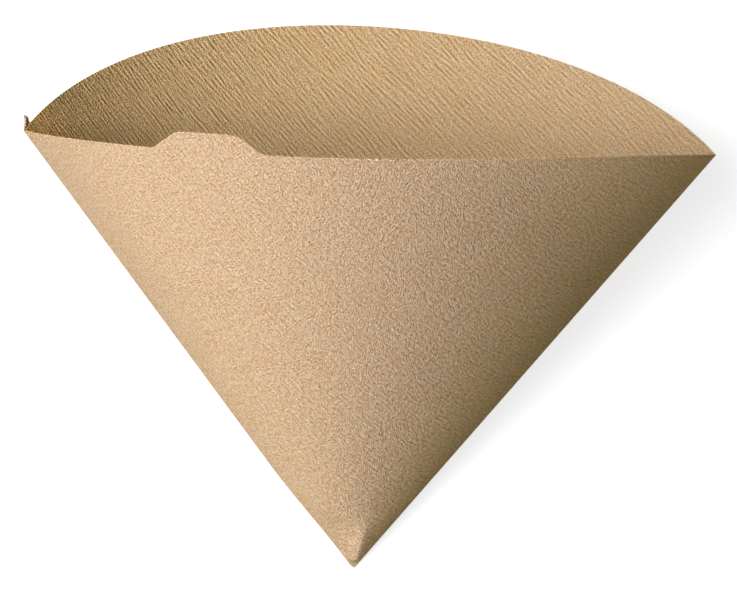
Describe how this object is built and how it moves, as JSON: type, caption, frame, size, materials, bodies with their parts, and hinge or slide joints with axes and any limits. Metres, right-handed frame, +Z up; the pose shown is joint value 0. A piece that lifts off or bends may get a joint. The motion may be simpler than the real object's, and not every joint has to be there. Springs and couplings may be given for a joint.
{
  "type": "paper coffee filter",
  "caption": "Cone-shaped paper coffee filter, folded from one creped brown sheet with a crimped side seam and a finger tab on its rim, lying open on its side.",
  "frame": {"origin": "middle of the box round the part, on the surface that the back ply lies on", "axes": "+X across the mouth from the seam to the fold, +Y from the tip to the mouth, +Z up from the back ply to the front ply"},
  "size_m": [0.1396, 0.1172, 0.0906],
  "materials": {
    "crepe_paper": "unbleached creped paper, matte"
  },
  "bodies": {
    "root": {"filter_paper": "crepe_paper"}
  },
  "joints": []
}
